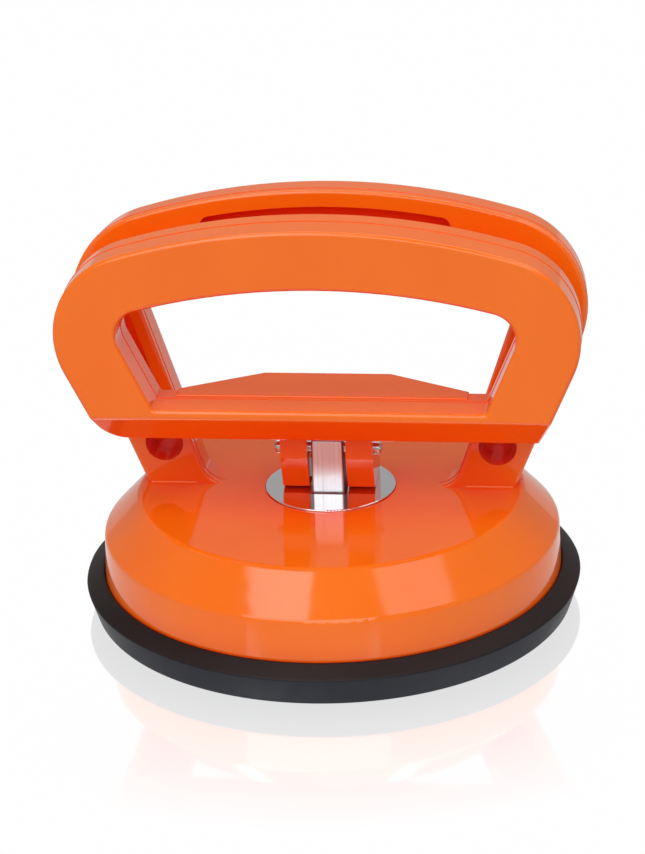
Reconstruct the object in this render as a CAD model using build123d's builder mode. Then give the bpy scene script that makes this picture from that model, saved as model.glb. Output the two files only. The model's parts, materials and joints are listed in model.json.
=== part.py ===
from build123d import *
from math import cos, pi, radians, sin, sqrt, tan
import os

# Hand-held vacuum lifter: a rubber cup under a moulded dome, a handle fixed on the dome, and a
# cam lever in front of it that pulls the middle of the cup up.
# Millimetres. +X runs along the handles, -Y is the lever's side, +Z is up.
# The origin is the centre of the cup's sealing face, which rests on z = 0.

# --- cup and dome -----------------------------------------------------------------------------
PAD_R = 59.2            # widest radius of the rubber cup, before its edge is rounded
PAD_FOOT_R = 56.8       # outer radius of the sealing face
PAD_EDGE_Z = 6.9        # height of the cup's widest edge
PAD_TOP_Z = 9.3         # where the rubber meets the dome
GROOVE_Z = 7.6          # floor of the groove that holds the dome's rim
SEAL_IN_R = 48.0        # inner radius of the flat sealing ring
CHAMBER_R = 34.0        # flat roof of the suction chamber
CHAMBER_Z = 4.5         # height of that roof with the cup pulled up
MEMBRANE = 3.0          # thickness of the rubber between rim and core
GROOVE_GAP = 0.1        # dome's rim to the groove's walls
INNER_LIP_Z = PAD_TOP_Z - 0.3
PAD_EDGE_ROUND = 0.9
PAD_FOOT_ROUNDS = (2.0, 0.5)  # inner and outer edge of the sealing ring

RIM_R = 54.5            # dome, outside, at its rim
BAND_R = 54.0           # dome, outside, at the top of the upright band
BAND_Z = 18.9
TOP_R = 45.4            # edge of the dome's flat top
TOP_Z = 27.9
WALL = 3.5              # dome wall
RIDGE_R = 1.6           # rounding of the two ridges round the dome
INNER_BAND_Z = BAND_Z - 1.4  # corners of the dome's inside, which keep its wall even
INNER_TOP_R = TOP_R - 1.7
OVERLAP = 1.0           # how far solids and cuts reach into or past each other

RIB_COUNT = 8
RIB_THICK = 2.2
RIB_BOTTOM_Z = 16.0
HUB_R = 11.0
HUB_BOTTOM_Z = 15.2

# --- pull bar, pin and wear plate ----------------------------------------------------------------
PLATE_R = 15.4          # slotted wear disc on the dome's top
PLATE_THICK = 0.8
PLATE_SINK = 0.35       # it lies in a shallow recess
PLATE_EDGE_GAP = 0.2
PLATE_ROUND = 0.2
PLATE_Z = TOP_Z - PLATE_SINK
PLATE_TOP_Z = PLATE_Z + PLATE_THICK
BAR_W = 7.5             # bar section, along X
BAR_FRONT_Y = -5.6
BAR_BACK_Y = 3.2
BAR_TOP_ABOVE_PIN = 3.0
BAR_TOP_ROUND = 0.55
BAR_CORNER_R = 0.6
BAR_MID_Y = (BAR_FRONT_Y + BAR_BACK_Y) / 2
BAR_D = BAR_BACK_Y - BAR_FRONT_Y
GUIDE_GAP = 0.25        # bar to guide slot, each side
PLATE_GAP_X = 0.6       # bar to wear disc slot
PLATE_GAP_Y = 0.75
PIN_Y = -2.2
PIN_RISE = 10.4         # pin axis above the wear plate with the lever closed
PIN_Z = PLATE_TOP_Z + PIN_RISE
PIN_R = 1.6
PIN_FIT = 0.05          # radial running clearance of the lugs on the pin
PIN_BAR_FIT = 0.02
PIN_HALF = 12.5
PIN_CHAMFER = 0.45
PIN_DRILL_R = 0.8       # blind hole in each end
PIN_DRILL_D = 1.6

CORE_R = 29.0
CORE_THICK = 2.2
CORE_ROUND = 0.6
CORE_Z = CHAMBER_Z + MEMBRANE
FLANGE = (24.0, 15.0, 2.8)
FLANGE_CORNER_R = 3.0
SCREW_X = 8.2
SCREW_R = 1.6
SCREW_HEAD_R = 2.9
SCREW_HEAD_Z = 1.6
SCREW_HEAD_ROUND = 0.7
SCREW_GAP = 0.1         # screw to its hole in the foot
SOCKET_R = 1.25
SOCKET_D = 1.0

# --- handles ----------------------------------------------------------------------------------
LEVER_HALF = 59.4       # half widths of the two handles
FIXED_HALF = 60.2
LEVER_ARCH = (160.0, 20.0)  # radii of the long arc of the top and of the shoulders
FIXED_ARCH = (156.0, 22.0)
LEVER_TOP_Z = 98.9
LEVER_FRONT_Y = -23.0
LEVER_D = 14.0
LEVER_BACK_Y = LEVER_FRONT_Y + LEVER_D
LEVER_BOTTOM_Z = 47.0
LEVER_LEANS = (25.8, 23.0)  # left and right side edges, degrees from upright
LEVER_HOLE_TOP = 85.0
LEVER_HOLE_BOTTOM = 55.9
LEVER_HOLE_HALVES = (37.5, 38.2)  # reach of the opening's bottom, left and right
LEVER_HOLE_LEANS = (25.2, 22.5)
HOLE_ARC_R = 157.0
HOLE_CORNER_R = 6.5
LOW_CORNER_R = 1.2      # at the bottom of the lever's opening

LEVER_LEFT_ROUND = 8.0  # lower corners of the lever's outline
LEVER_RIGHT_ROUND = 1.5
LEVER_POCKET_LOW_Z = 61.0
FRONT_ROUND = 1.0       # edges of the lever's front and back faces
BACK_EDGE = 0.6
BEVEL_TOP_Z = 53.9      # bevel along the lower bar, which lies on the dome when the lever is open
BEVEL_LEAN = 36.0       # degrees from upright
BEVEL_ROUND = 1.6       # soft edge where the bevel meets the front face
BEVEL_CUT = (3.0, 12.0)  # how far its cut runs up and down the slope from there
SHELF_TOP_Z = LEVER_HOLE_BOTTOM + 0.1  # trapezium behind the lower bar, over the lugs
SHELF_THICK = 3.8
SHELF_BACK_Y = 1.4
SHELF_HALF_FRONT = 33.6
SHELF_HALF_BACK = 14.8
SHELF_CORNER_R = 1.6
SHELF_ROUND = 0.4

FIXED_TOP_Z = 99.7
FIXED_D = 13.6
FIXED_RIM_D = 2.4       # front rim, up to the mould parting line
FIXED_TILT = 3.6        # the fixed handle leans back, degrees
FIXED_LEANS = (22.5, 22.5)
FIXED_HOLE_TOP = 86.2
FIXED_HOLE_HALVES = (29.4, 29.4)  # at the dome's top
FIXED_HOLE_LEANS = (18.3, 18.3)
FLARE_R = 6.5           # where the feet run out into the dome
FOOT_SINK = 9.0         # how far the feet reach down inside the dome before it is hollowed
SINK_EDGE = 3.0         # edges lower than this in the sunk part stay sharp

BACK_ROUND = 4.0        # palm side of the fixed handle
EDGE_ROUND = 0.8
FOOT_FILLET = 0.5       # foot to dome, in front, from one X to another
FOOT_LINE_X = (32.0, 43.0)
FOOT_LINE_SINK = 0.2    # how far that fillet's solid reaches into the foot and the dome

PARTING_Y = -15.2       # mould parting line of the lever
PARTING_STEP = 0.25
FLASH = (0.12, 0.4)     # height and width of the moulding line that stands up on it
SKIN = 3.4              # rim left round the cored pockets
POCKET_SHIFT = 0.4      # the fixed handle's pockets lie this much nearer to the hand opening
FIXED_POCKET = 8.6
LEVER_POCKET = 9.0
TOP_POCKET_HALF = 29.0
SIDE_POCKET_TOP_Z = 79.5
POCKET_CORNER_R = 2.4
POCKET_LOW_Z = 47.5
FOOT_RECESS_R = 4.5
FOOT_RECESS_AT = (39.5, 38.0)
FOOT_RECESS_D = 8.6
BIG = 100.0             # side of a square that cuts away more than a handle

# --- cam lugs of the lever -----------------------------------------------------------------------
LUG_IN_X = 4.5
LUG_OUT_X = 10.85
LUG_BACK_Y = 10.0
LUG_BACK_RISE = 3.5     # top of the heel over the pin's axis
HEEL_R = (2.0, 3.0)     # lower and upper corner at the back
LUG_TOP_Z = SHELF_TOP_Z - 2  # the lug's web ends inside the shelf
LUG_CORNER_Y = -3.2     # front end of the sole
LUG_KNEE = (-6.9, 37.6)  # Y and Z where the slanted front face turns upright
LUG_BLANK = (8.0, 5.0)  # reach of the uncut lug in front of the knee, low and high
LUG_TOP_SETBACK = 0.8   # back end of the lug's top, in front of the shelf's edge
LUG_LEAN_IN = 3.0       # where the front face runs up into the lower bar
LUG_CUT = (30.0, 0.5)   # reach of the front cut, forwards and below the wear disc's top
SOLE_GAP = 0.12         # lug sole to wear plate
CAM_RATE = 2.4          # how far the pin drops per radian of lever travel
CAM_STEPS = 6
CAM_END = 60.0          # degrees of lever travel that the toe's curve covers


def side_tangent(half_width, top_z, arch_r, shoulder_r, lean):
    """Centre of the shoulder arc and its three points, on the +X side."""
    centre_x = half_width - shoulder_r
    arch_z = top_z - arch_r
    rise = sqrt((arch_r - shoulder_r) ** 2 - centre_x**2)
    centre_z = arch_z + rise
    reach = arch_r / (arch_r - shoulder_r)
    upper = (centre_x * reach, arch_z + rise * reach)
    mid_angle = radians(25.0)
    middle = (centre_x + shoulder_r * cos(mid_angle), centre_z + shoulder_r * sin(mid_angle))
    low = radians(lean)
    lower = (centre_x + shoulder_r * cos(low), centre_z - shoulder_r * sin(low))
    return upper, middle, lower


def mirrored(point):
    return (-point[0], point[1])


def handle_outline(inset, half_width, top_z, arch, leans, bottom_z, corners=(0.0, 0.0)):
    """Outer outline of a handle, moved inwards by inset, as a face in its own X-Z sketch."""
    sides = []
    for lean in leans:
        upper, middle, lower = side_tangent(
            half_width - inset, top_z - inset, arch[0] - inset, arch[1] - inset, lean
        )
        foot = (lower[0] - (lower[1] - bottom_z) * tan(radians(lean)), bottom_z)
        sides.append((upper, middle, lower, foot))
    left = [mirrored(point) for point in sides[0]]
    right = sides[1]
    with BuildSketch() as outline:
        with BuildLine():
            ThreePointArc(left[0], (0, top_z - inset), right[0])
            ThreePointArc(right[0], right[1], right[2])
            Polyline(right[2], right[3], left[3], left[2])
            ThreePointArc(left[2], left[1], left[0])
        make_face()
        low = outline.vertices().group_by(Axis.Y)[0].sort_by(Axis.X)
        if corners[0]:
            fillet(low[0], radius=corners[0])
        if corners[1]:
            fillet(low[1], radius=corners[1])
    return outline.sketch


def hole_side(grow, top_z, half, lean, bottom_z):
    """Lower and upper corner of a hand opening on one side, with X outwards."""
    slope = tan(radians(lean))
    low_x = half + grow / cos(radians(lean)) - grow * slope
    low_z = bottom_z - grow
    radius = HOLE_ARC_R + grow
    corner_z = top_z
    for _ in range(20):
        corner_x = low_x + (corner_z - low_z) * slope
        corner_z = top_z + grow - radius + sqrt(radius**2 - corner_x**2)
    return (low_x, low_z), (corner_x, corner_z)


def hole_outline(grow, top_z, halves, leans, bottom_z, top_corner, low_corner):
    """Hand opening of a handle, made larger all round by grow."""
    left = [mirrored(point) for point in hole_side(grow, top_z, halves[0], leans[0], bottom_z)]
    right = hole_side(grow, top_z, halves[1], leans[1], bottom_z)
    with BuildSketch() as outline:
        with BuildLine():
            ThreePointArc(left[1], (0, top_z + grow), right[1])
            Polyline(right[1], right[0], left[0], left[1])
        make_face()
        middle_z = (top_z + bottom_z) / 2
        fillet(outline.vertices().filter_by(lambda v: v.Y > middle_z), radius=top_corner + grow)
        if low_corner:
            fillet(outline.vertices().group_by(Axis.Y)[0], radius=low_corner)
    return outline.sketch


def pocket_outline(band_out, band_in, low_z):
    """Cored pockets of a handle: one along the top and one down each side."""
    with BuildSketch() as outline:
        add(band_out)
        add(band_in, mode=Mode.SUBTRACT)
        for side in (-1, 1):
            with Locations((side * (TOP_POCKET_HALF + BIG / 2), SIDE_POCKET_TOP_Z + BIG / 2)):
                Rectangle(BIG, BIG, mode=Mode.SUBTRACT)
        with Locations((0, low_z - BIG / 2)):
            Rectangle(2 * BIG, BIG, mode=Mode.SUBTRACT)
        corners = [
            v for v in outline.vertices()
            if min(abs(v.Y - low_z), abs(v.Y - SIDE_POCKET_TOP_Z)) < 0.01
            or abs(abs(v.X) - TOP_POCKET_HALF) < 0.01
        ]
        fillet(corners, radius=POCKET_CORNER_R)
    return outline.sketch


def cam_point(angle):
    """Toe of the lug, in Y-Z: at this lever angle it is the point that meets the wear disc."""
    height = PIN_RISE - SOLE_GAP - CAM_RATE * angle
    y = PIN_Y - height * sin(angle) + CAM_RATE * cos(angle)
    z = PIN_Z - height * cos(angle) - CAM_RATE * sin(angle)
    return (y, z)


os.makedirs("parts", exist_ok=True)

# --- suction pad ----------------------------------------------------------------------------------
# One rubber moulding: a thick rim with a groove for the dome, and a thin web to the raised middle.
with BuildPart() as suction_pad:
    with BuildSketch(Plane.XZ) as pad_section:
        with BuildLine():
            Polyline(
                (0, CHAMBER_Z),
                (CHAMBER_R, CHAMBER_Z),
                (SEAL_IN_R, 0),
                (PAD_FOOT_R, 0),
                (PAD_R, PAD_EDGE_Z),
                (RIM_R + GROOVE_GAP, PAD_TOP_Z),
                (RIM_R + GROOVE_GAP, GROOVE_Z),
                (RIM_R - WALL - GROOVE_GAP, GROOVE_Z),
                (RIM_R - WALL - GROOVE_GAP, INNER_LIP_Z),
                (SEAL_IN_R - 0.5, INNER_LIP_Z),
                (SEAL_IN_R - 2, PAD_TOP_Z - 2.8),
                (SEAL_IN_R - 5, CORE_Z - 1.9),
                (CHAMBER_R - 2, CORE_Z),
                (0, CORE_Z),
                close=True,
            )
        make_face()
        widest = pad_section.vertices().group_by(Axis.X)[-1]
        fillet(widest, radius=PAD_EDGE_ROUND)
        foot = pad_section.vertices().group_by(Axis.Y)[0].sort_by(Axis.X)
        fillet(foot[-1], radius=PAD_FOOT_ROUNDS[1])
        fillet(foot[0], radius=PAD_FOOT_ROUNDS[0])
    revolve(axis=Axis.Z)
suction_pad.part.label = "suction_pad"
export_step(suction_pad.part, "parts/suction_pad.step")

# --- core plate ------------------------------------------------------------------------------------
# Steel disc bonded on the raised middle of the rubber, tapped for the two screws of the bar's foot.
with BuildPart() as core_plate:
    with BuildSketch(Plane.XY.offset(CORE_Z)):
        Circle(CORE_R)
        with Locations((SCREW_X, BAR_MID_Y), (-SCREW_X, BAR_MID_Y)):
            Circle(SCREW_R, mode=Mode.SUBTRACT)
    extrude(amount=CORE_THICK)
    core_rim = core_plate.edges().group_by(Axis.Z)[-1].sort_by(SortBy.LENGTH)[-1]
    fillet(core_rim, radius=CORE_ROUND)
core_plate.part.label = "core_plate"
export_step(core_plate.part, "parts/core_plate.step")

# --- pull bar ---------------------------------------------------------------------------------------
FLANGE_Z = CORE_Z + CORE_THICK
FLANGE_TOP_Z = FLANGE_Z + FLANGE[2]
BAR_TOP_Z = PIN_Z + BAR_TOP_ABOVE_PIN
with BuildPart() as pull_bar:
    with BuildSketch(Plane.XY.offset(FLANGE_Z)):
        with Locations((0, BAR_MID_Y)):
            RectangleRounded(FLANGE[0], FLANGE[1], FLANGE_CORNER_R)
        with Locations((SCREW_X, BAR_MID_Y), (-SCREW_X, BAR_MID_Y)):
            Circle(SCREW_R + SCREW_GAP, mode=Mode.SUBTRACT)
    extrude(amount=FLANGE[2])
    with BuildSketch(Plane.XY.offset(FLANGE_TOP_Z)):
        with Locations((0, BAR_MID_Y)):
            RectangleRounded(BAR_W, BAR_D, BAR_CORNER_R)
    extrude(amount=BAR_TOP_Z - FLANGE_TOP_Z)
    fillet(pull_bar.edges().group_by(Axis.Z)[-1], radius=BAR_TOP_ROUND)
    with BuildSketch(Plane.YZ.offset(-BAR_W)):
        with Locations((PIN_Y, PIN_Z)):
            Circle(PIN_R + PIN_BAR_FIT)
    extrude(amount=2 * BAR_W, mode=Mode.SUBTRACT)
pull_bar.part.label = "pull_bar"
export_step(pull_bar.part, "parts/pull_bar.step")

# --- foot screws --------------------------------------------------------------------------------------
# Pan heads with a hexagon socket, standing on the bar's foot.
with BuildPart() as foot_screws:
    for x in (-SCREW_X, SCREW_X):
        with BuildSketch(Plane.XY.offset(CORE_Z)):
            with Locations((x, BAR_MID_Y)):
                Circle(SCREW_R)
        extrude(amount=CORE_THICK + FLANGE[2])
        with BuildSketch(Plane.XY.offset(FLANGE_TOP_Z)):
            with Locations((x, BAR_MID_Y)):
                Circle(SCREW_HEAD_R)
        extrude(amount=SCREW_HEAD_Z)
        with BuildSketch(Plane.XY.offset(FLANGE_TOP_Z + SCREW_HEAD_Z)):
            with Locations((x, BAR_MID_Y)):
                RegularPolygon(SOCKET_R, 6)
        extrude(amount=-SOCKET_D, mode=Mode.SUBTRACT)
    heads = foot_screws.faces().filter_by(Axis.Z).group_by(Axis.Z)[-1]
    fillet(heads.edges().filter_by(GeomType.CIRCLE), radius=SCREW_HEAD_ROUND)
foot_screws.part.label = "foot_screws"
export_step(foot_screws.part, "parts/foot_screws.step")

# --- pivot pin -----------------------------------------------------------------------------------------
with BuildPart() as pivot_pin:
    with BuildSketch(Plane.YZ.offset(-PIN_HALF)):
        with Locations((PIN_Y, PIN_Z)):
            Circle(PIN_R)
    extrude(amount=2 * PIN_HALF)
    chamfer(pivot_pin.edges().filter_by(GeomType.CIRCLE), length=PIN_CHAMFER)
    for end in (-PIN_HALF, PIN_HALF):
        inward = PIN_DRILL_D if end < 0 else -PIN_DRILL_D
        with BuildSketch(Plane.YZ.offset(end)):
            with Locations((PIN_Y, PIN_Z)):
                Circle(PIN_DRILL_R)
        extrude(amount=inward, mode=Mode.SUBTRACT)
pivot_pin.part.label = "pivot_pin"
export_step(pivot_pin.part, "parts/pivot_pin.step")

# --- wear plate -----------------------------------------------------------------------------------------
with BuildPart() as wear_plate:
    with BuildSketch(Plane.XY.offset(PLATE_Z)):
        Circle(PLATE_R)
        with Locations((0, BAR_MID_Y)):
            Rectangle(BAR_W + 2 * PLATE_GAP_X, BAR_D + 2 * PLATE_GAP_Y, mode=Mode.SUBTRACT)
    extrude(amount=PLATE_THICK)
    rims = wear_plate.edges().filter_by(GeomType.CIRCLE).group_by(Axis.Z)[-1]
    fillet(rims, radius=PLATE_ROUND)
wear_plate.part.label = "wear_plate"
export_step(wear_plate.part, "parts/wear_plate.step")

# --- fixed handle, which is moulded in one with the dome -----------------------------------------------
tilt = radians(FIXED_TILT)
fixed_front = Plane(
    origin=(0, -TOP_Z * sin(tilt), TOP_Z - TOP_Z * cos(tilt)),
    x_dir=(1, 0, 0),
    z_dir=(0, -cos(tilt), sin(tilt)),
)


def fixed_outline(inset):
    bottom_z = TOP_Z - FOOT_SINK
    return handle_outline(inset, FIXED_HALF, FIXED_TOP_Z, FIXED_ARCH, FIXED_LEANS, bottom_z)


def fixed_hole(grow, low_corner):
    return hole_outline(
        grow, FIXED_HOLE_TOP, FIXED_HOLE_HALVES, FIXED_HOLE_LEANS, TOP_Z, HOLE_CORNER_R, low_corner
    )


rim_faces = (fixed_outline(0), fixed_hole(0, FLARE_R))
shell_faces = (fixed_outline(PARTING_STEP), fixed_hole(PARTING_STEP, FLARE_R))
fixed_pockets = pocket_outline(
    fixed_outline(SKIN + POCKET_SHIFT), fixed_hole(SKIN - POCKET_SHIFT, 0), POCKET_LOW_Z
)

with BuildPart() as fixed_handle:
    with BuildSketch(fixed_front.offset(-FIXED_RIM_D)):
        add(shell_faces[0])
        add(shell_faces[1], mode=Mode.SUBTRACT)
    extrude(amount=-(FIXED_D - FIXED_RIM_D))
    above_sink = TOP_Z - FOOT_SINK + SINK_EDGE
    back = fixed_handle.faces().sort_by(Axis.Y)[-1]
    fillet(back.edges().filter_by(lambda e: e.center().Z > above_sink), radius=BACK_ROUND)
    with BuildSketch(fixed_front):
        add(rim_faces[0])
        add(rim_faces[1], mode=Mode.SUBTRACT)
    extrude(amount=-FIXED_RIM_D)
    front = fixed_handle.faces().filter_by(lambda f: f.normal_at().Y < -0.99).sort_by(Axis.Y)[0]
    fillet(front.edges().filter_by(lambda e: e.center().Z > above_sink), radius=EDGE_ROUND)
    with BuildSketch(fixed_front.offset(-FIXED_RIM_D)):
        add(fixed_outline(-FLASH[0]))
        add(fixed_hole(-FLASH[0], FLARE_R), mode=Mode.SUBTRACT)
    extrude(amount=-FLASH[1])
    with BuildSketch(fixed_front):
        add(fixed_pockets)
    extrude(amount=-FIXED_POCKET, mode=Mode.SUBTRACT)
    with BuildSketch(fixed_front):
        with Locations(FOOT_RECESS_AT, mirrored(FOOT_RECESS_AT)):
            Circle(FOOT_RECESS_R)
    extrude(amount=-FOOT_RECESS_D, mode=Mode.SUBTRACT)

# Hollow fillet between the front of a foot and the dome's top.
with BuildPart() as foot_line:
    with BuildSketch(Plane.YZ.offset(FOOT_LINE_X[0])):
        with BuildLine():
            bend = FOOT_FILLET * (1 - sqrt(0.5))
            ThreePointArc(
                (-FOOT_FILLET, TOP_Z), (-bend, TOP_Z + bend), (0, TOP_Z + FOOT_FILLET)
            )
            Polyline(
                (0, TOP_Z + FOOT_FILLET),
                (FOOT_LINE_SINK, TOP_Z + FOOT_FILLET),
                (FOOT_LINE_SINK, TOP_Z - FOOT_LINE_SINK),
                (-FOOT_FILLET, TOP_Z - FOOT_LINE_SINK),
                (-FOOT_FILLET, TOP_Z),
            )
        make_face()
    extrude(amount=FOOT_LINE_X[1] - FOOT_LINE_X[0])

# --- base housing: dome, hub, ribs and the fixed handle --------------------------------------------------
with BuildPart() as base_housing:
    with BuildSketch(Plane.XZ) as dome_section:
        with BuildLine():
            Polyline(
                (0, GROOVE_Z),
                (RIM_R, GROOVE_Z),
                (BAND_R, BAND_Z),
                (TOP_R, TOP_Z),
                (0, TOP_Z),
                close=True,
            )
        make_face()
        ridges = dome_section.vertices().filter_by(lambda v: v.X > 1 and v.Y > GROOVE_Z + OVERLAP)
        fillet(ridges, radius=RIDGE_R)
    revolve(axis=Axis.Z)
    add(fixed_handle.part)
    with BuildSketch(Plane.XZ):
        with BuildLine():
            Polyline(
                (0, GROOVE_Z - OVERLAP),
                (RIM_R - WALL, GROOVE_Z - OVERLAP),
                (RIM_R - WALL, GROOVE_Z),
                (BAND_R - WALL, INNER_BAND_Z),
                (INNER_TOP_R, TOP_Z - WALL),
                (0, TOP_Z - WALL),
                close=True,
            )
        make_face()
    revolve(axis=Axis.Z, mode=Mode.SUBTRACT)
    add(foot_line.part)
    add(mirror(foot_line.part, about=Plane.YZ))
    with BuildSketch(Plane.XY.offset(PLATE_Z)):
        Circle(PLATE_R + PLATE_EDGE_GAP)
    extrude(amount=2 * PLATE_SINK, mode=Mode.SUBTRACT)
    with BuildSketch(Plane.XY.offset(HUB_BOTTOM_Z)):
        Circle(HUB_R)
    extrude(amount=TOP_Z - WALL - HUB_BOTTOM_Z)
    for index in range(RIB_COUNT):
        turn = 2 * pi * (index + 0.5) / RIB_COUNT
        rib_plane = Plane(
            origin=(0, 0, 0), x_dir=(cos(turn), sin(turn), 0), z_dir=(sin(turn), -cos(turn), 0)
        )
        with BuildSketch(rib_plane):
            with BuildLine():
                Polyline(
                    (HUB_R - OVERLAP, RIB_BOTTOM_Z),
                    (BAND_R - WALL + OVERLAP, RIB_BOTTOM_Z),
                    (BAND_R - WALL + OVERLAP, INNER_BAND_Z),
                    (INNER_TOP_R, TOP_Z - WALL + OVERLAP),
                    (HUB_R - OVERLAP, TOP_Z - WALL + OVERLAP),
                    close=True,
                )
            make_face()
        extrude(amount=RIB_THICK / 2, both=True)
    with BuildSketch(Plane.XY.offset(HUB_BOTTOM_Z - OVERLAP)):
        with Locations((0, BAR_MID_Y)):
            Rectangle(BAR_W + 2 * GUIDE_GAP, BAR_D + 2 * GUIDE_GAP)
    extrude(amount=TOP_Z - HUB_BOTTOM_Z + 2 * OVERLAP, mode=Mode.SUBTRACT)
base_housing.part.label = "base_housing"
export_step(base_housing.part, "parts/base_housing.step")

# --- lever ----------------------------------------------------------------------------------------------
lever_front = Plane.XZ.offset(-LEVER_FRONT_Y)
lever_parting = Plane.XZ.offset(-PARTING_Y)
lever_back = Plane.XZ.offset(-LEVER_BACK_Y)


def lever_outline(inset):
    corners = (LEVER_LEFT_ROUND, LEVER_RIGHT_ROUND)
    return handle_outline(
        inset, LEVER_HALF, LEVER_TOP_Z, LEVER_ARCH, LEVER_LEANS, LEVER_BOTTOM_Z, corners
    )


def lever_hole(grow, low_corner):
    return hole_outline(
        grow, LEVER_HOLE_TOP, LEVER_HOLE_HALVES, LEVER_HOLE_LEANS, LEVER_HOLE_BOTTOM,
        HOLE_CORNER_R, low_corner
    )


front_faces = (lever_outline(0), lever_hole(0, LOW_CORNER_R))
rear_faces = (lever_outline(PARTING_STEP), lever_hole(PARTING_STEP, LOW_CORNER_R))
lever_pockets = pocket_outline(lever_outline(SKIN), lever_hole(SKIN, 0), LEVER_POCKET_LOW_Z)

# Shelf behind the lower bar: a trapezium in plan that ties the two lugs to the bar.
with BuildPart() as shelf:
    with BuildSketch(Plane.XY.offset(SHELF_TOP_Z)) as shelf_plan:
        with BuildLine():
            Polyline(
                (-SHELF_HALF_FRONT, PARTING_Y + 2 * OVERLAP),
                (-SHELF_HALF_FRONT, LEVER_BACK_Y),
                (-SHELF_HALF_BACK, SHELF_BACK_Y),
                (SHELF_HALF_BACK, SHELF_BACK_Y),
                (SHELF_HALF_FRONT, LEVER_BACK_Y),
                (SHELF_HALF_FRONT, PARTING_Y + 2 * OVERLAP),
                close=True,
            )
        make_face()
        fillet(shelf_plan.vertices().group_by(Axis.Y)[-1], radius=SHELF_CORNER_R)
    extrude(amount=-SHELF_THICK)
    fillet(shelf.faces().sort_by(Axis.Z)[-1].edges(), radius=SHELF_ROUND)

# One cam lug: a flat sole that holds the cup pulled up, and a toe that lets it down evenly.
toe = [cam_point(radians(CAM_END) * step / CAM_STEPS) for step in range(CAM_STEPS + 1)]
with BuildPart() as lug:
    with BuildSketch(Plane.YZ.offset(LUG_IN_X)) as lug_section:
        with BuildLine():
            end = radians(CAM_END)
            Spline(*toe, tangents=[(-1, 0), (-cos(end), sin(end))])
            Polyline(
                toe[-1],
                (LUG_KNEE[0] - LUG_BLANK[0], LUG_KNEE[1]),
                (LUG_KNEE[0] - LUG_BLANK[1], LUG_TOP_Z),
                (SHELF_BACK_Y - LUG_TOP_SETBACK, LUG_TOP_Z),
                (LUG_BACK_Y, PIN_Z + LUG_BACK_RISE),
                (LUG_BACK_Y, toe[0][1]),
                toe[0],
            )
        make_face()
        fillet(lug_section.vertices().group_by(Axis.X)[-1].sort_by(Axis.Y)[0], radius=HEEL_R[0])
        fillet(lug_section.vertices().group_by(Axis.X)[-1].sort_by(Axis.Y)[-1], radius=HEEL_R[1])
        with BuildLine():
            Polyline(
                (LUG_CORNER_Y, PLATE_TOP_Z - LUG_CUT[1]),
                LUG_KNEE,
                (LUG_KNEE[0], LEVER_BOTTOM_Z - LUG_LEAN_IN),
                (LEVER_BACK_Y - LUG_LEAN_IN, LEVER_BOTTOM_Z + OVERLAP),
                (LEVER_BACK_Y - LUG_CUT[0], LEVER_BOTTOM_Z + OVERLAP),
                (LEVER_BACK_Y - LUG_CUT[0], PLATE_TOP_Z - LUG_CUT[1]),
                close=True,
            )
        make_face(mode=Mode.SUBTRACT)
        with Locations((PIN_Y, PIN_Z)):
            Circle(PIN_R + PIN_FIT, mode=Mode.SUBTRACT)
    extrude(amount=LUG_OUT_X - LUG_IN_X)

with BuildPart() as lever_handle:
    with BuildSketch(lever_front):
        add(front_faces[0])
        add(front_faces[1], mode=Mode.SUBTRACT)
    extrude(amount=-(PARTING_Y - LEVER_FRONT_Y))
    slope = radians(BEVEL_LEAN)
    up, down = BEVEL_CUT
    with BuildSketch(Plane.YZ.offset(-LEVER_HALF)):
        with BuildLine():
            Polyline(
                (LEVER_FRONT_Y - up * sin(slope), BEVEL_TOP_Z + up * cos(slope)),
                (LEVER_FRONT_Y + down * sin(slope), BEVEL_TOP_Z - down * cos(slope)),
                (LEVER_FRONT_Y - up * sin(slope), BEVEL_TOP_Z - down * cos(slope)),
                close=True,
            )
        make_face()
    extrude(amount=2 * LEVER_HALF, mode=Mode.SUBTRACT)
    upright = lever_handle.faces().filter_by(lambda f: f.normal_at().Y < -0.999)[0]
    brow = upright.edges().sort_by(Axis.Z)[0]
    fillet(brow, radius=BEVEL_ROUND)
    upright = lever_handle.faces().filter_by(lambda f: f.normal_at().Y < -0.999)[0]
    bevel = lever_handle.faces().filter_by(lambda f: f.normal_at().Y < -0.5 and f.normal_at().Z < -0.3)
    bevel_ends = bevel.edges().filter_by(lambda e: abs(e.center().X) > LEVER_HOLE_HALVES[0])
    fillet(upright.edges() + bevel_ends, radius=FRONT_ROUND)
    with BuildSketch(lever_parting):
        add(rear_faces[0])
        add(rear_faces[1], mode=Mode.SUBTRACT)
    extrude(amount=-(LEVER_BACK_Y - PARTING_Y))
    rear = lever_handle.faces().sort_by(Axis.Y)[-1]
    fillet(rear.edges(), radius=BACK_EDGE)
    with BuildSketch(lever_parting):
        add(lever_outline(-FLASH[0]))
        add(lever_hole(-FLASH[0], LOW_CORNER_R), mode=Mode.SUBTRACT)
    extrude(amount=-FLASH[1])
    with BuildSketch(lever_back):
        add(lever_pockets)
    extrude(amount=LEVER_POCKET, mode=Mode.SUBTRACT)
    add(shelf.part)
    add(lug.part)
    add(mirror(lug.part, about=Plane.YZ))
lever_handle.part.label = "lever_handle"
export_step(lever_handle.part, "parts/lever_handle.step")
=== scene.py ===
"""Looks of the hand-held vacuum lifter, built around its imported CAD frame.

Metres, in the frame's own coordinates: +X along the handles, -Y the lever's side, +Z up.
"""

import json
from math import cos, pi, sin

import bmesh
import bpy
from mathutils import Matrix, Vector, noise


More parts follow.
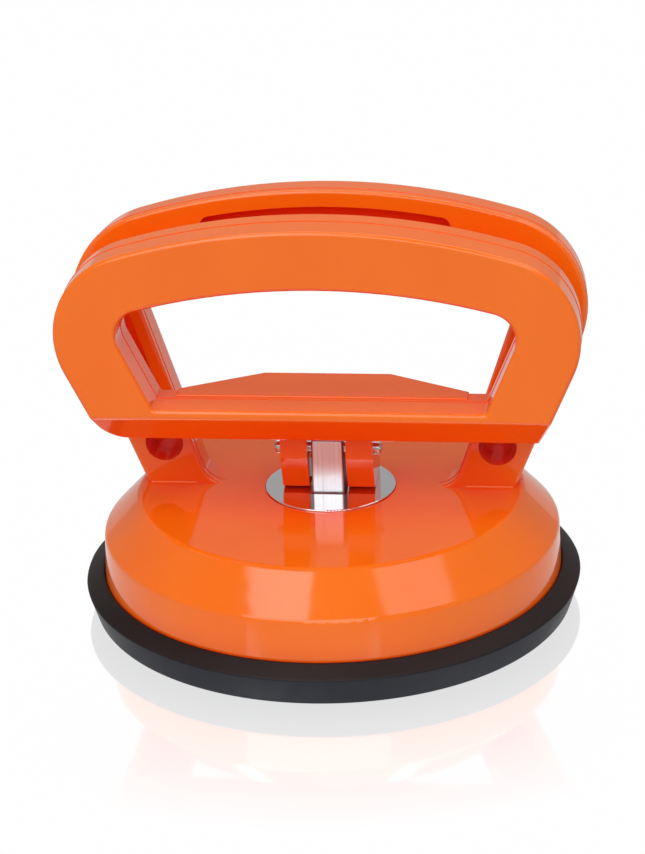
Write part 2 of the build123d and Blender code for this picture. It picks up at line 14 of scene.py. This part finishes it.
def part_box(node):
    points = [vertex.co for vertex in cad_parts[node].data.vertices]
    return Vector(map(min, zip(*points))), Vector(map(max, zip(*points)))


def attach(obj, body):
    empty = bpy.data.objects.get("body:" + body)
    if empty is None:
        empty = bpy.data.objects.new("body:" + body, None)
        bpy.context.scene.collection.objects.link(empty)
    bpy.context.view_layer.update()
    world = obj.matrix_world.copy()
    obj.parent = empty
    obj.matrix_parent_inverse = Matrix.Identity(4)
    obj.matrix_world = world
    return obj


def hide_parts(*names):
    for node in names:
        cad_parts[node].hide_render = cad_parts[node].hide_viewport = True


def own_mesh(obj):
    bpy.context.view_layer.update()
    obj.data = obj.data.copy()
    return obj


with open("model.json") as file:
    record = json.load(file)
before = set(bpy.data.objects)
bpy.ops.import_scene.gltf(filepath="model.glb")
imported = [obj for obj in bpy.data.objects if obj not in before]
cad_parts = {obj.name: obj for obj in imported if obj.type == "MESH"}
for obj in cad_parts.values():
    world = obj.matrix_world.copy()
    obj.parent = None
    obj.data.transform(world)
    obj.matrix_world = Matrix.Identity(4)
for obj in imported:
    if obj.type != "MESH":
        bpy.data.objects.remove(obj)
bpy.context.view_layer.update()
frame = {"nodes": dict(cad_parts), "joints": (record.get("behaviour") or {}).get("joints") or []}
nodes = frame["nodes"]
scene = bpy.context.scene
scene.view_settings.view_transform = "Standard"

MM = 0.001

# --- camera ---------------------------------------------------------------------------------------
VIEW_DOWN = 0.400          # radians below the horizontal
VIEW_ASIDE = 0.122         # radians towards +X from straight in front
VIEW_ROLL = -0.034
VIEW_DISTANCE = 0.6738
AIM_ASIDE = -0.0015        # the camera stands this far along its own right and up
AIM_UP = 0.0395
LENS = 118.0               # millimetres, as is the sensor, which lies along the tall side
SENSOR = 36.0
NEAREST_SEEN = 0.01


def make_camera():
    """The camera, rolled a little, as a photographer's hand-held one is."""
    back = Vector((sin(VIEW_ASIDE) * cos(VIEW_DOWN), -cos(VIEW_ASIDE) * cos(VIEW_DOWN), sin(VIEW_DOWN)))
    right = Vector((cos(VIEW_ASIDE), sin(VIEW_ASIDE), 0.0))
    up = back.cross(right)
    place = back * VIEW_DISTANCE + right * AIM_ASIDE + up * AIM_UP
    rolled_right = right * cos(VIEW_ROLL) + up * sin(VIEW_ROLL)
    rolled_up = up * cos(VIEW_ROLL) - right * sin(VIEW_ROLL)
    data = bpy.data.cameras.new("camera")
    data.lens = LENS
    data.sensor_width = SENSOR
    data.clip_start = NEAREST_SEEN
    camera = bpy.data.objects.new("camera", data)
    turn = Matrix((rolled_right, rolled_up, back)).transposed()
    camera.matrix_world = Matrix.Translation(place) @ turn.to_4x4()
    scene.collection.objects.link(camera)
    scene.camera = camera


# --- material helpers -----------------------------------------------------------------------------
NOISE_MIDDLE = (0.3, 0.7)  # most of a noise's values lie between these


class Nodes:
    """A material's node tree with short calls for the nodes used here."""

    def __init__(self, name):
        self.material = bpy.data.materials.new(name)
        self.material.use_nodes = True
        self.tree = self.material.node_tree
        self.shader = self.tree.nodes["Principled BSDF"]
        self.position = self.add("ShaderNodeTexCoord").outputs["Object"]

    def add(self, kind, **settings):
        node = self.tree.nodes.new(kind)
        for key, value in settings.items():
            setattr(node, key, value)
        return node

    def link(self, source, target):
        self.tree.links.new(source, target)

    def value(self, node, socket, value):
        """A number or colour goes on the socket, and another node's output is linked to it."""
        if isinstance(value, bpy.types.NodeSocket):
            self.link(value, node.inputs[socket])
        else:
            node.inputs[socket].default_value = value

    def stretched(self, scale):
        node = self.add("ShaderNodeMapping")
        self.link(self.position, node.inputs["Vector"])
        node.inputs["Scale"].default_value = scale
        return node.outputs["Vector"]

    def noise(self, scale, detail=2.0, roughness=0.5, where=None):
        node = self.add("ShaderNodeTexNoise")
        self.link(where or self.position, node.inputs["Vector"])
        node.inputs["Scale"].default_value = scale
        node.inputs["Detail"].default_value = detail
        node.inputs["Roughness"].default_value = roughness
        return node.outputs["Fac"]

    def range(self, value, low, high, out_low, out_high):
        node = self.add("ShaderNodeMapRange")
        self.link(value, node.inputs["Value"])
        node.inputs["From Min"].default_value = low
        node.inputs["From Max"].default_value = high
        node.inputs["To Min"].default_value = out_low
        node.inputs["To Max"].default_value = out_high
        return node.outputs["Result"]

    def spread(self, noise_value, out_low=0.0, out_high=1.0):
        """The middle of a noise, spread over a range of its own."""
        return self.range(noise_value, *NOISE_MIDDLE, out_low, out_high)

    def mix(self, factor, first, second):
        node = self.add("ShaderNodeMix", data_type="RGBA")
        self.value(node, "Factor", factor)
        for socket, colour in ((node.inputs[6], first), (node.inputs[7], second)):
            if isinstance(colour, bpy.types.NodeSocket):
                self.link(colour, socket)
            else:
                socket.default_value = (*colour, 1.0)
        return node.outputs[2]

    def math(self, operation, first, second=0.5):
        node = self.add("ShaderNodeMath", operation=operation)
        for index, item in enumerate((first, second)):
            if isinstance(item, bpy.types.NodeSocket):
                self.link(item, node.inputs[index])
            else:
                node.inputs[index].default_value = item
        return node.outputs[0]

    def upward(self):
        """Upward part of the surface's normal, in the object's own frame."""
        parts = self.add("ShaderNodeSeparateXYZ")
        self.link(self.add("ShaderNodeTexCoord").outputs["Normal"], parts.inputs[0])
        return parts.outputs["Z"]

    def shade_of_grey(self, value):
        node = self.add("ShaderNodeCombineColor")
        for socket in node.inputs:
            self.link(value, socket)
        return node.outputs[0]

    def bump(self, height, strength, depth):
        node = self.add("ShaderNodeBump")
        node.inputs["Strength"].default_value = strength
        node.inputs["Distance"].default_value = depth
        self.link(height, node.inputs["Height"])
        self.link(node.outputs["Normal"], self.shader.inputs["Normal"])

    def finish(self, colour, rough, **constants):
        self.value(self.shader, "Base Color", colour)
        self.value(self.shader, "Roughness", rough)
        for key, value in constants.items():
            self.shader.inputs[key.replace("_", " ")].default_value = value
        return self.material


# --- materials ------------------------------------------------------------------------------------
# Colours are linear, and noise scales are in waves per metre.
ORANGE = (0.890, 0.146, 0.0035)
ORANGE_STREAK = (0.905, 0.168, 0.0060)
ORANGE_GRAIN = (0.88, 0.118, 0.003)
# painted shade: the deep red that hollows and faces looking down are turned towards
ORANGE_PAINTED_SHADE = (1.0, 0.020, 0.0020)
HOLLOW_REACH = 0.024       # walls nearer than this make a place a hollow
HOLLOW_OPEN = (0.20, 0.88)  # ambient occlusion in a deep hollow and in the open
HOLLOW_PAINTED_SHADE = 0.86          # most painted shade that a hollow gets, as its share of the deep red
UNDER_PAINTED_SHADE = 0.60           # most painted shade that a face looking down gets
UNDER_Z = -0.65            # upward part of the normal of a face that has all of that painted shade

BAR_DARK = (0.62, 0.62, 0.66)
BAR_BRIGHT = (0.78, 0.78, 0.82)
BAR_SCRATCH = (0.42, 0.42, 0.44)

ZINC = (0.66, 0.66, 0.67)
STAINLESS = (0.90, 0.90, 0.905)
CORE_STEEL = (0.52, 0.52, 0.54)
TURNING_SCALE = 5200
TURNING_DARKENS = 1.1      # times the depth of the cut

# painted light: the rubber's sides carry a bluish tint and its top a browner one, by how they face the
# light
RUBBER_SIDE = ((0.0048, 0.0056, 0.0110), (0.0085, 0.0095, 0.0175))
RUBBER_TOP_PAINTED_LIGHT = ((0.0115, 0.0050, 0.0046), (0.0185, 0.0095, 0.0088))
RUBBER_SPECK = (0.045, 0.042, 0.045)
RUBBER_BLOOM = (0.35, 0.72)
PAINTED_TOP_Z = (0.30, 0.60)      # upward part of the normal where the painted top light begins and is full


def orange_plastic():
    """Glossy moulded plastic with flow streaks and scuffs, and painted shade that turns it redder in
    hollows and underneath.
    """
    n = Nodes("moulded_orange")
    flow = n.noise(38, detail=4.0, roughness=0.6, where=n.stretched((1.0, 1.0, 0.35)))
    fine = n.noise(900, detail=3.0, roughness=0.6)
    colour = n.mix(n.spread(flow), ORANGE, ORANGE_STREAK)
    colour = n.mix(n.range(fine, 0.62, 0.78, 0.0, 0.25), colour, ORANGE_GRAIN)
    # painted shade: ambient occlusion turns hollows towards the deep red
    hollow = n.add("ShaderNodeAmbientOcclusion", samples=8)
    hollow.inputs["Distance"].default_value = HOLLOW_REACH
    depth = n.range(hollow.outputs["AO"], *HOLLOW_OPEN, HOLLOW_PAINTED_SHADE, 0.0)
    # painted shade: faces that look down turn towards the deep red
    under = n.range(n.upward(), UNDER_Z, 0.0, UNDER_PAINTED_SHADE, 0.0)
    colour = n.mix(n.math("MAXIMUM", depth, under), colour, ORANGE_PAINTED_SHADE)
    scuff = n.noise(2600, detail=1.0, where=n.stretched((0.05, 1.0, 1.0)))
    rough = n.math("ADD", n.spread(flow, 0.06, 0.10), n.range(scuff, 0.68, 0.8, 0.0, 0.10))
    orange_peel = n.noise(420)
    n.bump(orange_peel, strength=0.035, depth=0.0002)
    return n.finish(colour, rough, IOR=1.5, Specular_IOR_Level=0.5)


def brushed_bar():
    """Bright aluminium flat bar with brushing along Z and a few deeper scratches."""
    n = Nodes("brushed_aluminium")
    grain = n.noise(4200, detail=3.0, roughness=0.7, where=n.stretched((1.0, 1.0, 0.012)))
    scratch = n.noise(1500, where=n.stretched((1.0, 1.0, 0.03)))
    colour = n.mix(n.spread(grain), BAR_DARK, BAR_BRIGHT)
    colour = n.mix(n.range(scratch, 0.64, 0.78, 0.0, 0.4), colour, BAR_SCRATCH)
    n.bump(grain, strength=0.16, depth=0.00005)
    return n.finish(colour, n.spread(grain, 0.30, 0.44), Metallic=1.0)


def turned_steel(name, tint, rough_low, rough_high, centre=(0, 0, 0), along="Z", cut=0.12):
    """Steel with fine turning marks round its own axis, cut deep or faint, and handling haze."""
    n = Nodes(name)
    shift = n.add("ShaderNodeVectorMath", operation="SUBTRACT")
    n.link(n.position, shift.inputs[0])
    shift.inputs[1].default_value = centre
    parts = n.add("ShaderNodeSeparateXYZ")
    n.link(shift.outputs[0], parts.inputs[0])
    across = [parts.outputs[k] for k in "XYZ" if k != along]
    radius = n.math("SQRT", n.math("ADD", n.math("POWER", across[0], 2), n.math("POWER", across[1], 2)))
    ring = n.add("ShaderNodeTexNoise", noise_dimensions="1D")
    ring.inputs["Scale"].default_value = TURNING_SCALE
    ring.inputs["Detail"].default_value = 4.0
    n.link(radius, ring.inputs["W"])
    haze = n.noise(120, detail=3.0, roughness=0.6)
    marks = ring.outputs["Fac"]
    darker = tuple((1.0 - TURNING_DARKENS * cut) * part for part in tint)
    colour = n.mix(n.spread(marks), darker, tint)
    rough = n.math("ADD", n.spread(marks, 0.0, 0.03), n.spread(haze, rough_low, rough_high))
    n.bump(marks, strength=cut, depth=0.00005)
    return n.finish(colour, rough, Metallic=1.0)


def black_rubber():
    """Moulded rubber: near black, satin, finely pitted, with painted light: browner where it faces up
    and bluish on its sides.
    """
    n = Nodes("moulded_rubber")
    bloom = n.noise(60, detail=5.0, roughness=0.65)
    pits = n.noise(1400, detail=3.0, roughness=0.7)
    speck = n.noise(650)
    patches = n.range(bloom, *RUBBER_BLOOM, 0.0, 1.0)
    # painted light: faces that look up take the browner tint
    painted_top = n.range(n.upward(), *PAINTED_TOP_Z, 0.0, 1.0)
    colour = n.mix(painted_top, n.mix(patches, *RUBBER_SIDE), n.mix(patches, *RUBBER_TOP_PAINTED_LIGHT))
    colour = n.mix(n.range(speck, 0.70, 0.80, 0.0, 0.35), colour, RUBBER_SPECK)
    n.bump(pits, strength=0.22, depth=0.00012)
    return n.finish(colour, n.spread(bloom, 0.42, 0.56), Specular_IOR_Level=0.22)


# --- the rubber cup -------------------------------------------------------------------------------
# Radii and heights in millimetres.
TURNS = 288                # steps round the cup
EDGE_WAVES = 4.0           # how busy the trimmed edge's wander is, round the cup and up it
EDGE_WAVES_UP = 0.3
EDGE_WANDER = 0.14
EDGE_TRIMMED = (56.6, 3.0)  # radius and height beyond which the edge wanders

GROOVE_OUT_R = 54.62       # groove that holds the dome's rim
GROOVE_IN_R = 50.8
GROOVE_Z = 7.7
LIP_R = 55.2               # flat lip outside the groove
EDGE_Z = 6.8               # widest edge of the rim, and its soft upper corner
EDGE_CORNER = (0.35, 0.35)
FOOT_R = 57.0
FOOT_Z = 0.55
FACE_R = 56.5              # outer edge of the sealing face
RIDGES = (48.6, 56.2, 5, 0.28)  # inner and outer radius of the sealing ridges, their count and height
SEAL_IN_R = 48.0
WALL_IN_R = 45.2           # inner wall of the rim, from low to high
WALL_Z = (0.9, 5.9)
INNER_LIP_Z = 8.9
RIM_ROUND = 0.25

WEB_IN_R = 46.6            # thin web from the rim to the raised middle
ROOF_Z = 4.5
ROOF_R = 33.5
WEB_RINGS = (41.5, 38.5, 35.5)
WEB_RISE = 3.4 / 12.0
WEB_LOW = (46.0, 0.9)
ROOF_GROOVES = (23.2, 11.2)
GROOVE_HALF = 0.8
GROOVE_CUT = 0.5
WEB_ROUND = 0.5


def revolve(name, profile, wave):
    """A closed ring or disc from a profile of (radius, height) in millimetres, outside first.

    wave is how far the trimmed rubber edge wanders, in millimetres, given a radius and a height."""
    mesh = bmesh.new()
    rings = []
    for radius, height in profile:
        if radius < 1e-6:
            rings.append([mesh.verts.new((0.0, 0.0, height * MM))])
            continue
        ring = []
        for step in range(TURNS):
            turn = 2 * pi * step / TURNS
            out = radius + wave(radius, height) * noise.noise(
                Vector((cos(turn) * EDGE_WAVES, sin(turn) * EDGE_WAVES, height * EDGE_WAVES_UP))
            )
            ring.append(mesh.verts.new((out * cos(turn) * MM, out * sin(turn) * MM, height * MM)))
        rings.append(ring)
    closed = len(rings[0]) > 1 and len(rings[-1]) > 1
    pairs = list(zip(rings, rings[1:]))
    if closed:
        pairs.append((rings[-1], rings[0]))
    for first, second in pairs:
        for step in range(TURNS):
            after = (step + 1) % TURNS
            if len(first) == 1:
                corners = (first[0], second[after], second[step])
            elif len(second) == 1:
                corners = (first[step], first[after], second[0])
            else:
                corners = (first[step], first[after], second[after], second[step])
            mesh.faces.new(corners)
    bmesh.ops.recalc_face_normals(mesh, faces=mesh.faces)
    data = bpy.data.meshes.new(name)
    mesh.to_mesh(data)
    mesh.free()
    for face in data.polygons:
        face.use_smooth = True
    piece = bpy.data.objects.new(name, data)
    scene.collection.objects.link(piece)
    return piece


def rounded(points, radius, steps=4):
    """The same open outline with each inner corner turned into a small arc."""
    made = [points[0]]
    for before, here, after in zip(points, points[1:], points[2:]):
        corner = Vector(here)
        back = Vector(before) - corner
        on = Vector(after) - corner
        reach = min(radius, 0.45 * back.length, 0.45 * on.length)
        start = corner + back.normalized() * reach
        end = corner + on.normalized() * reach
        for step in range(steps + 1):
            t = step / steps
            spot = start * (1 - t) ** 2 + corner * 2 * t * (1 - t) + end * t * t
            made.append(tuple(spot))
    made.append(points[-1])
    return made


def seal_ridges(inner, outer, count, height):
    """Concentric ridges on the sealing face, from the outside in."""
    pitch = (outer - inner) / count
    points = []
    for index in range(count):
        edge = outer - index * pitch
        points += [(edge, 0.0), (edge - 0.55 * pitch, 0.0), (edge - 0.68 * pitch, height),
                   (edge - 0.87 * pitch, height)]
    return points


def web_ring(radius):
    """A moulded ring standing down from the sloping underside of the web."""
    slope = WEB_LOW[1] + (WEB_LOW[0] - radius) * WEB_RISE
    return [(radius + 0.9, slope - 0.25), (radius + 0.3, slope - 0.55), (radius - 0.3, slope - 0.5),
            (radius - 0.9, slope + 0.25)]


def edge_wander(radius, height):
    """Only the widest part of the rim is trimmed by hand."""
    return EDGE_WANDER if radius > EDGE_TRIMMED[0] and height > EDGE_TRIMMED[1] else 0.0


def no_wander(_radius, _height):
    return 0.0


def make_cup():
    rubber = black_rubber()
    low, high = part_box("suction_pad")
    edge = high.x / MM
    top = high.z / MM
    outer = [
        (GROOVE_OUT_R, GROOVE_Z),
        (GROOVE_OUT_R, top),
        (LIP_R, top),
        (edge - EDGE_CORNER[0], EDGE_Z + EDGE_CORNER[1]),
        (edge, EDGE_Z),
        (FOOT_R, FOOT_Z),
        (FACE_R, 0.0),
    ]
    inner = [
        (SEAL_IN_R, 0.0),
        (WALL_IN_R, WALL_Z[0]),
        (WALL_IN_R, WALL_Z[1]),
        (WALL_IN_R + 1.4, WALL_Z[1] + 1.4),
        (WALL_IN_R + 2.4, INNER_LIP_Z),
        (GROOVE_IN_R, INNER_LIP_Z),
        (GROOVE_IN_R, GROOVE_Z),
    ]
    profile = rounded(outer + seal_ridges(*RIDGES) + inner, RIM_ROUND)
    rim = revolve("cup_rim", profile, edge_wander)
    rim.data.materials.append(rubber)
    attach(rim, "base")
    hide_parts("suction_pad")

    over = [(0.0, 7.46), (31.6, 7.46), (36.0, 6.7), (43.2, 5.4), (46.4, 5.2), (46.8, 3.2)]
    under = [(WEB_IN_R, 1.6), (WEB_IN_R - 0.4, 0.9), (WEB_IN_R - 2.0, 1.05)]
    for ring in WEB_RINGS:
        under += web_ring(ring)
    under.append((ROOF_R, ROOF_Z))
    for ring in ROOF_GROOVES:
        under += [
            (ring + GROOVE_HALF, ROOF_Z),
            (ring, ROOF_Z - GROOVE_CUT),
            (ring - GROOVE_HALF, ROOF_Z),
        ]
    under.append((0.0, ROOF_Z))
    membrane = revolve("cup_membrane", rounded(over + under, WEB_ROUND), no_wander)
    membrane.data.materials.append(rubber)
    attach(membrane, "base")
    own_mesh(membrane)


# --- finishes on the CAD nodes --------------------------------------------------------------------
def dress_nodes():
    plastic = orange_plastic()
    pin = next(joint["pos_m"] for joint in frame["joints"] if joint["name"] == "lever_hinge")
    zinc = turned_steel("zinc_plated_steel", ZINC, 0.22, 0.34, tuple(pin), "X")
    finishes = {
        "base_housing": plastic,
        "lever_handle": plastic,
        "pull_bar": brushed_bar(),
        "pivot_pin": zinc,
        "foot_screws": zinc,
        "wear_plate": turned_steel("polished_stainless", STAINLESS, 0.04, 0.08, cut=0.02),
        "core_plate": turned_steel("plated_core", CORE_STEEL, 0.30, 0.42),
    }
    for name, material in finishes.items():
        for slot in nodes[name].material_slots:
            slot.material = material


# --- floor and light ------------------------------------------------------------------------------
FLOOR_SEEN = 0.995         # glow of the floor as the picture's ground
FLOOR_LIGHT = 0.62         # glow of the floor as a light on the object
BAND_GLOW = 0.37           # world round the horizon; heights in it are sines of elevation
BAND_TOP = (0.45, 0.75)    # the band fades into the ceiling between these
CEILING_GLOW = 0.28
MIRROR_NEAR = 0.75         # share of mirror reflection beside the cup
MIRROR_FADE = (0.056, 0.110)  # distance from the cup's axis where it starts to fade, and ends
MIRROR_ROUGH = 0.06
FLOOR_SIZE = 8.0
FLOOR_SINK = 0.00005       # keeps the floor and the cup's face apart

# Name, place, height aimed at on the cup's axis, width, height, watts.
SOFTBOXES = (
    ("left_box", (-0.24, -0.32, 0.86), 0.03, 0.46, 0.42, 2.1),
    ("right_box", (0.50, -0.12, 0.84), 0.03, 0.70, 0.42, 1.65),
    ("back_box", (0.10, 0.52, 0.84), 0.05, 0.80, 0.30, 1.7),
    ("key_box", (-0.06, -0.80, 0.66), 0.05, 1.20, 0.60, 5.4),
)


def make_floor():
    bpy.ops.mesh.primitive_plane_add(size=FLOOR_SIZE, location=(0, 0, -FLOOR_SINK))
    floor = bpy.context.object
    floor.name = "floor"
    n = Nodes("white_floor")
    out = n.tree.nodes["Material Output"]
    length = n.add("ShaderNodeVectorMath", operation="LENGTH")
    n.link(n.position, length.inputs[0])
    fade = n.range(length.outputs["Value"], *MIRROR_FADE, MIRROR_NEAR, 0.0)
    path = n.add("ShaderNodeLightPath")
    glow = n.add("ShaderNodeEmission")
    seen = n.math("SUBTRACT", FLOOR_SEEN, n.math("MULTIPLY", fade, BAND_GLOW))
    strength = n.add("ShaderNodeMix", data_type="FLOAT")
    n.link(path.outputs["Is Camera Ray"], strength.inputs[0])
    strength.inputs[2].default_value = FLOOR_LIGHT
    n.link(seen, strength.inputs[3])
    n.link(strength.outputs[0], glow.inputs["Strength"])
    mirror = n.add("ShaderNodeBsdfGlossy")
    mirror.inputs["Roughness"].default_value = MIRROR_ROUGH
    n.link(n.shade_of_grey(fade), mirror.inputs["Color"])
    both = n.add("ShaderNodeAddShader")
    n.link(glow.outputs[0], both.inputs[0])
    n.link(mirror.outputs[0], both.inputs[1])
    n.link(both.outputs[0], out.inputs["Surface"])
    floor.data.materials.append(n.material)


def make_world():
    """A bright band round the horizon under a dim ceiling, so that the softboxes show in the gloss.

    Behind the object it is as white as the floor."""
    world = bpy.data.worlds.new("studio")
    world.use_nodes = True
    scene.world = world
    tree = world.node_tree
    coordinate = tree.nodes.new("ShaderNodeTexCoord")
    parts = tree.nodes.new("ShaderNodeSeparateXYZ")
    ramp = tree.nodes.new("ShaderNodeMapRange")
    ramp.interpolation_type = "SMOOTHSTEP"
    ramp.inputs["From Min"].default_value = BAND_TOP[0]
    ramp.inputs["From Max"].default_value = BAND_TOP[1]
    ramp.inputs["To Min"].default_value = BAND_GLOW
    ramp.inputs["To Max"].default_value = CEILING_GLOW
    tree.links.new(coordinate.outputs["Generated"], parts.inputs[0])
    tree.links.new(parts.outputs["Z"], ramp.inputs["Value"])
    path = tree.nodes.new("ShaderNodeLightPath")
    strength = tree.nodes.new("ShaderNodeMix")
    strength.inputs[3].default_value = FLOOR_SEEN
    tree.links.new(path.outputs["Is Camera Ray"], strength.inputs[0])
    tree.links.new(ramp.outputs["Result"], strength.inputs[2])
    background = tree.nodes["Background"]
    background.inputs["Color"].default_value = (1.0, 1.0, 1.0, 1.0)
    tree.links.new(strength.outputs[0], background.inputs["Strength"])


def softbox(name, place, aim_z, width, height, power):
    data = bpy.data.lights.new(name, "AREA")
    data.shape = "RECTANGLE"
    data.size = width
    data.size_y = height
    data.energy = power
    light = bpy.data.objects.new(name, data)
    light.location = place
    aim = Vector((0, 0, aim_z)) - Vector(place)
    light.rotation_euler = aim.to_track_quat("-Z", "Y").to_euler()
    scene.collection.objects.link(light)


make_camera()
make_world()
make_floor()
for box in SOFTBOXES:
    softbox(*box)
dress_nodes()
make_cup()
